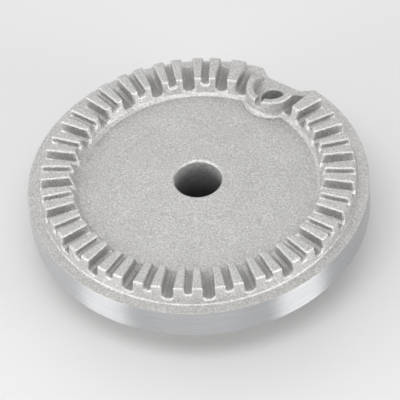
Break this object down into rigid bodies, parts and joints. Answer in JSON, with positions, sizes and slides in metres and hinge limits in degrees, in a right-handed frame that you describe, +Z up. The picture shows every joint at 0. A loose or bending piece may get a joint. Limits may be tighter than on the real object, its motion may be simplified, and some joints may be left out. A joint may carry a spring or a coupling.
{
  "type": "gas burner flame spreader",
  "caption": "Round cast aluminium flame spreader with a ring of flame slots, a central gas bore, a walled igniter hole at the rim, a turned skirt and a hub below.",
  "frame": {"origin": "Centre of the hub's foot, on the bore's axis", "axes": "+Z up along the bore towards the teeth, +Y from the bore to the igniter hole"},
  "size_m": [0.072, 0.0714, 0.022],
  "materials": {
    "cast_aluminium": "fine blasted casting grain, with a bright turned outer wall"
  },
  "bodies": {
    "root": {"flame_spreader": "cast_aluminium"}
  },
  "joints": []
}
